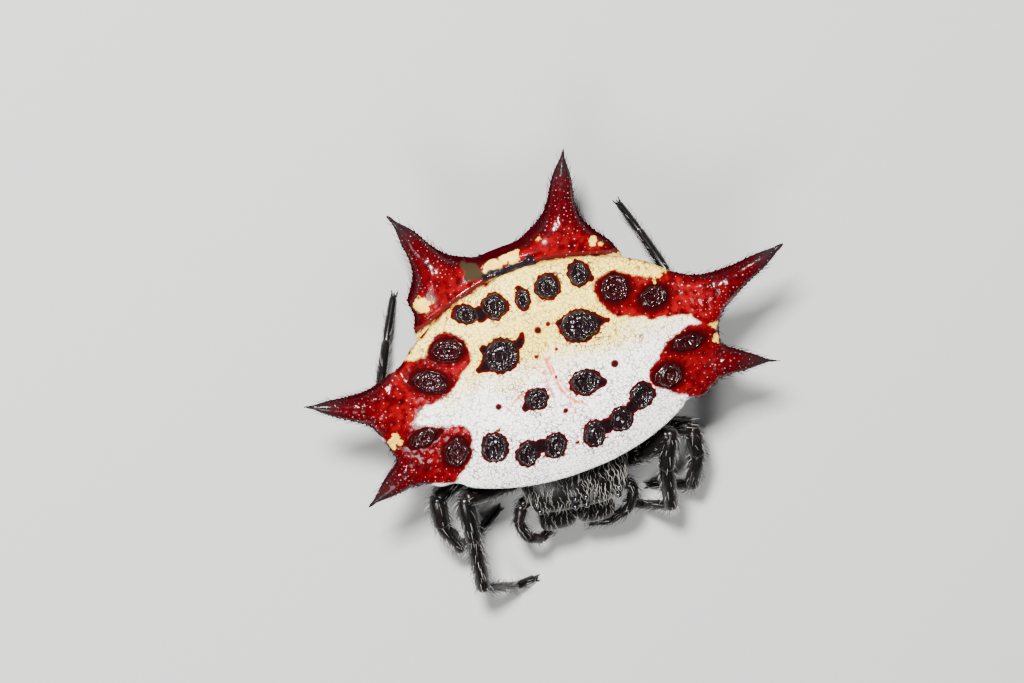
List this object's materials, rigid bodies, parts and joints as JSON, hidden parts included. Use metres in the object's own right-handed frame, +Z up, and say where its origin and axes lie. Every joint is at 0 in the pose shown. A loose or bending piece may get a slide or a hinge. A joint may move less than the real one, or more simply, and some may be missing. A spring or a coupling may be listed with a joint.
{
  "type": "spiny orb weaver",
  "caption": "Spider with a wide, hard back plate edged with long cone spines and dimpled scars, short legs and a small dark head, set standing as a still model.",
  "frame": {"origin": "on the floor under the middle of the spider's bounding box", "axes": "+X to the spider's own left, across the widest spines; +Y towards its rear; +Z up from its back plate"},
  "size_m": [0.013, 0.012, 0.0046],
  "materials": {
    "plate": "satin",
    "black_cuticle": "glossy",
    "brown_cuticle": "glossy",
    "eye": "glossy"
  },
  "bodies": {
    "root": {"abdomen": "plate", "cephalothorax": "black_cuticle", "chelicera_left": "black_cuticle", "chelicera_right": "black_cuticle", "eye_front_median_left": "eye", "eye_front_median_right": "eye", "eye_front_side_left": "eye", "eye_front_side_right": "eye", "eye_rear_median_left": "eye", "eye_rear_median_right": "eye", "eye_rear_side_left": "eye", "eye_rear_side_right": "eye", "leg_1_left": "black_cuticle", "leg_1_right": "black_cuticle", "leg_2_left": "black_cuticle", "leg_2_right": "black_cuticle", "leg_3_left": "black_cuticle", "leg_3_right": "black_cuticle", "leg_4_left": "black_cuticle", "leg_4_right": "black_cuticle", "pedipalp_left": "black_cuticle", "pedipalp_right": "black_cuticle", "spinnerets": "brown_cuticle"}
  },
  "joints": []
}
